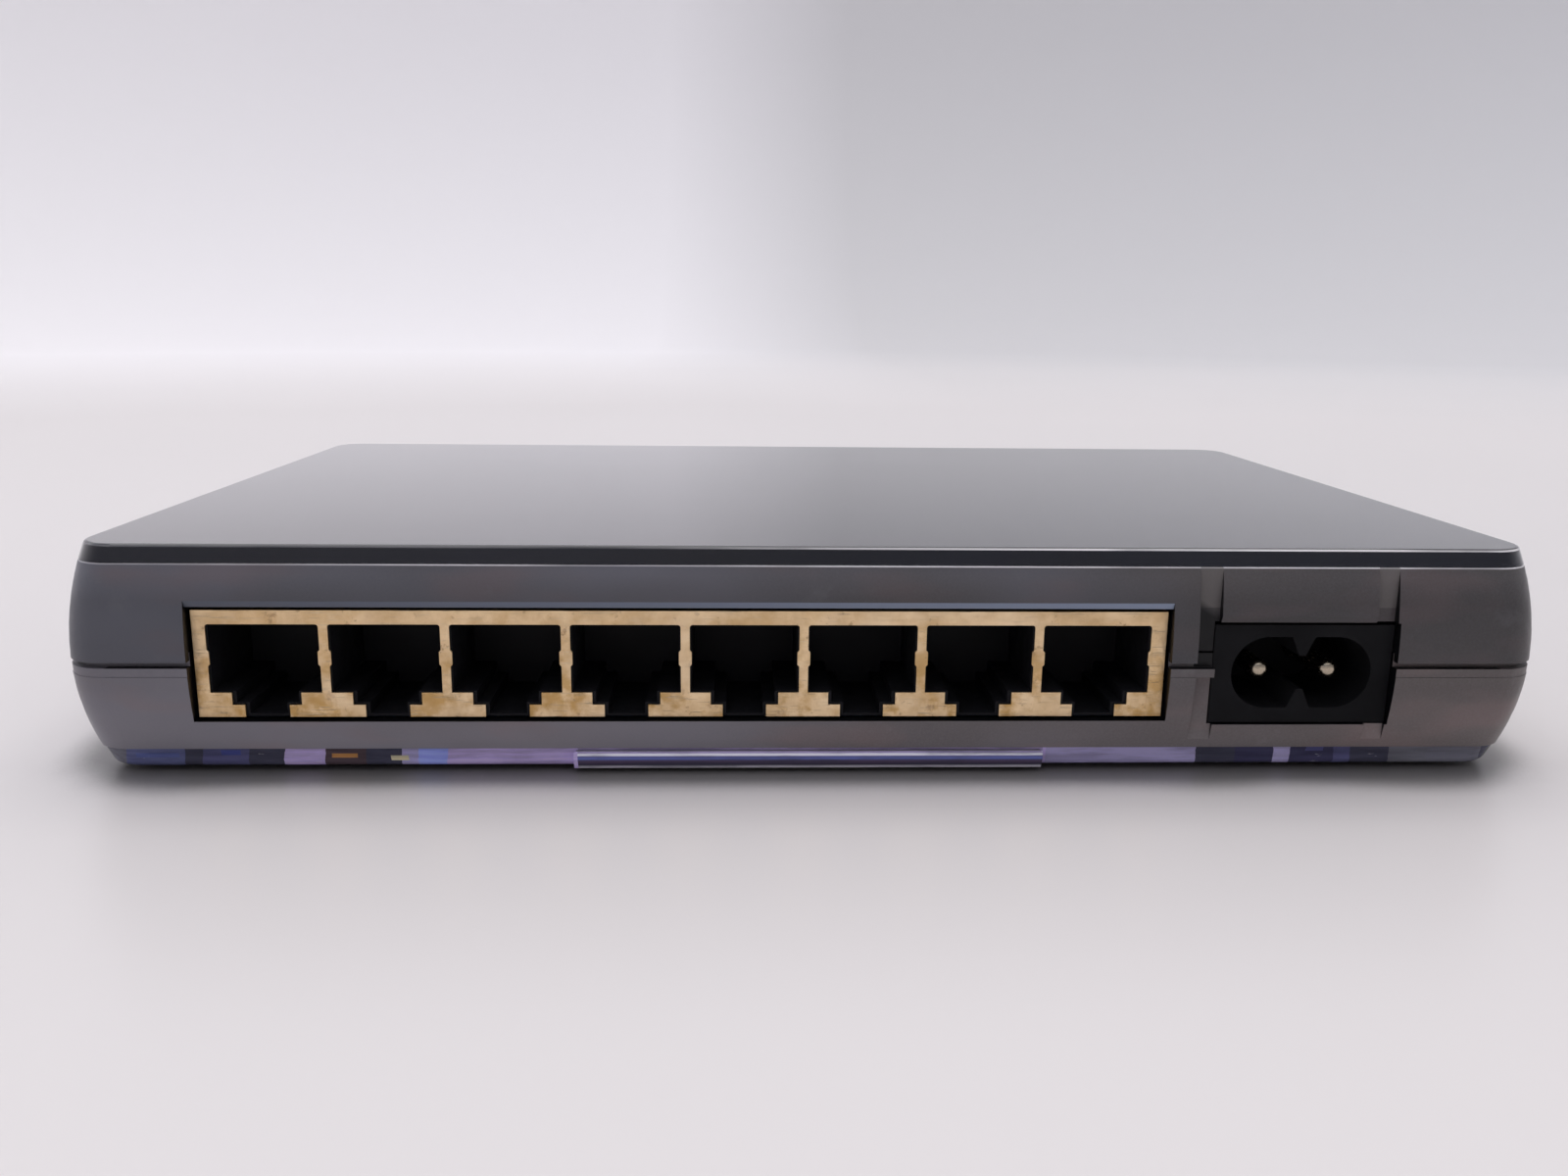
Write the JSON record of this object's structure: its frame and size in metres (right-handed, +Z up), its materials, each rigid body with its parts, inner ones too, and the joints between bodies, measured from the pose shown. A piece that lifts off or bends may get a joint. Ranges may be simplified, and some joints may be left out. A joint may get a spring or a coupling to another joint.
{
  "type": "desktop network switch",
  "caption": "Flat desktop network switch: glossy top plate on a smoked two-part shell, a row of modular ports and a two-pin mains inlet.",
  "frame": {"origin": "under the middle of the body, on the plane that the rubber feet stand on", "axes": "+Z up, +X along the row of ports to the right as seen from the port side, -Y out of the ports"},
  "size_m": [0.175, 0.108, 0.0278],
  "materials": {
    "gloss_black": "high gloss",
    "smoke_upper": "fine satin texture, smoked",
    "smoke_lower": "fine satin texture, smoked, with a polished lower edge",
    "rubber_black": "matte",
    "screw_steel": "zinc plated",
    "label_white": "semi matte",
    "lens_smoke": "polished smoke",
    "guide_clear": "clear polished",
    "led_body": "clear cap",
    "shield_bronze": "satin plated sheet with stains and scratches",
    "insulator_black": "moulded",
    "contact_gold": "gold plated",
    "inlet_black": "moulded",
    "pin_nickel": "nickel plated",
    "board_mask": "solder mask",
    "chip_black": "moulded",
    "sink_aluminium": "extruded",
    "can_steel": "plated",
    "can_aluminium": "drawn",
    "ferrite_grey": "sintered",
    "ceramic_tan": "fired",
    "ceramic_dark": "fired",
    "fuse_ceramic": "glazed tube",
    "clip_brass": "plated",
    "film_yellow": "moulded box",
    "winding_copper": "enamelled copper wire",
    "sleeve_dark": "shrunk sleeve",
    "opto_cream": "moulded",
    "bobbin_black": "moulded",
    "tape_yellow": "polyester tape",
    "sheet_clear": "thin film"
  },
  "bodies": {
    "casing": {"top_plate": "gloss_black", "upper_shell": "smoke_upper", "lower_shell": "smoke_lower", "rubber_feet": "rubber_black", "case_screws": "screw_steel", "rating_label": "label_white", "led_window": "lens_smoke", "light_guide": "guide_clear", "status_leds": "led_body", "jack_shield": "shield_bronze", "jack_housing": "insulator_black", "jack_leads": "contact_gold", "inlet_body": "inlet_black", "inlet_pins": "pin_nickel", "main_board": "board_mask", "magnetics_modules": "chip_black", "switch_chip": "chip_black", "switch_heat_sink": "sink_aluminium", "memory_chip": "chip_black", "crystal": "can_steel", "filter_capacitors": "can_aluminium", "power_inductors": "ferrite_grey", "regulator_chip": "chip_black", "chip_capacitors": "ceramic_tan", "chip_resistors": "ceramic_dark", "mains_fuse": "fuse_ceramic", "fuse_clips": "clip_brass", "mains_filter_capacitor": "film_yellow", "choke_core": "ferrite_grey", "choke_windings": "winding_copper", "bridge_rectifier": "chip_black", "bulk_capacitor": "sleeve_dark", "supply_controller": "chip_black", "optocoupler": "opto_cream", "transformer_core": "ferrite_grey", "transformer_bobbin": "bobbin_black", "transformer_winding": "tape_yellow", "output_capacitors": "sleeve_dark", "output_inductor": "ferrite_grey", "diode_heat_sink": "sink_aluminium", "output_diode": "chip_black", "insulation_sheet": "sheet_clear"},
    "contact_comb_1": {"port_1_contacts": "contact_gold"},
    "contact_comb_2": {"port_2_contacts": "contact_gold"},
    "contact_comb_3": {"port_3_contacts": "contact_gold"},
    "contact_comb_4": {"port_4_contacts": "contact_gold"},
    "contact_comb_5": {"port_5_contacts": "contact_gold"},
    "contact_comb_6": {"port_6_contacts": "contact_gold"},
    "contact_comb_7": {"port_7_contacts": "contact_gold"},
    "contact_comb_8": {"port_8_contacts": "contact_gold"}
  },
  "joints": [
    {"name": "port_1_contact_spring", "type": "hinge", "parent": "casing", "child": "contact_comb_1", "pos_m": [-0.06439, -0.0477, 0.01795], "axis": [1, 0, 0], "range_deg": [0, 9], "stiffness_Nm_per_rad": 0.3},
    {"name": "port_2_contact_spring", "type": "hinge", "parent": "casing", "child": "contact_comb_2", "pos_m": [-0.05042, -0.0477, 0.01795], "axis": [1, 0, 0], "range_deg": [0, 9], "stiffness_Nm_per_rad": 0.3},
    {"name": "port_3_contact_spring", "type": "hinge", "parent": "casing", "child": "contact_comb_3", "pos_m": [-0.03646, -0.0477, 0.01795], "axis": [1, 0, 0], "range_deg": [0, 9], "stiffness_Nm_per_rad": 0.3},
    {"name": "port_4_contact_spring", "type": "hinge", "parent": "casing", "child": "contact_comb_4", "pos_m": [-0.02249, -0.0477, 0.01795], "axis": [1, 0, 0], "range_deg": [0, 9], "stiffness_Nm_per_rad": 0.3},
    {"name": "port_5_contact_spring", "type": "hinge", "parent": "casing", "child": "contact_comb_5", "pos_m": [-0.00851, -0.0477, 0.01795], "axis": [1, 0, 0], "range_deg": [0, 9], "stiffness_Nm_per_rad": 0.3},
    {"name": "port_6_contact_spring", "type": "hinge", "parent": "casing", "child": "contact_comb_6", "pos_m": [0.00545, -0.0477, 0.01795], "axis": [1, 0, 0], "range_deg": [0, 9], "stiffness_Nm_per_rad": 0.3},
    {"name": "port_7_contact_spring", "type": "hinge", "parent": "casing", "child": "contact_comb_7", "pos_m": [0.01943, -0.0477, 0.01795], "axis": [1, 0, 0], "range_deg": [0, 9], "stiffness_Nm_per_rad": 0.3},
    {"name": "port_8_contact_spring", "type": "hinge", "parent": "casing", "child": "contact_comb_8", "pos_m": [0.0334, -0.0477, 0.01795], "axis": [1, 0, 0], "range_deg": [0, 9], "stiffness_Nm_per_rad": 0.3}
  ]
}
